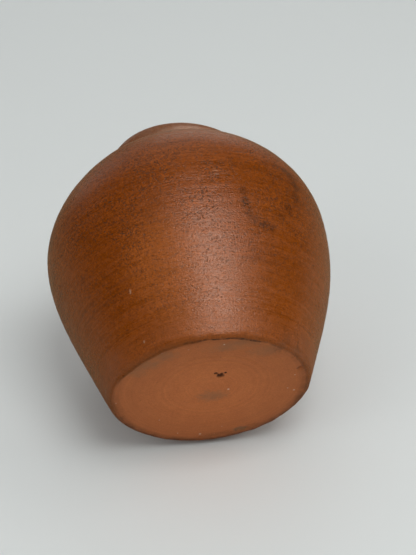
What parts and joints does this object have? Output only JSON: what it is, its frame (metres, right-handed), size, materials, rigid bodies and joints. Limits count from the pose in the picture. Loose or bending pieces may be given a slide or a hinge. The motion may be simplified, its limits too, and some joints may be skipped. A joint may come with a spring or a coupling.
{
  "type": "bud vase",
  "caption": "Small round-bellied clay vase with a flat foot, a conical lower wall, a short neck and a flared, rolled lip; hollow, for a few short stems.",
  "frame": {"origin": "middle of the flat underside, which is also the lowest point of the vase standing upright", "axes": "+Z along the axis the vase was thrown on, from the underside to the mouth; +X and +Y are any two directions across it, because the vase is round"},
  "size_m": [0.088, 0.088, 0.0865],
  "materials": {
    "red_clay": "unglazed red earthenware, burnished on the outside wall to a soft sheen, bare and matt on the underside and inside"
  },
  "bodies": {
    "root": {"vase_body": "red_clay"}
  },
  "joints": []
}
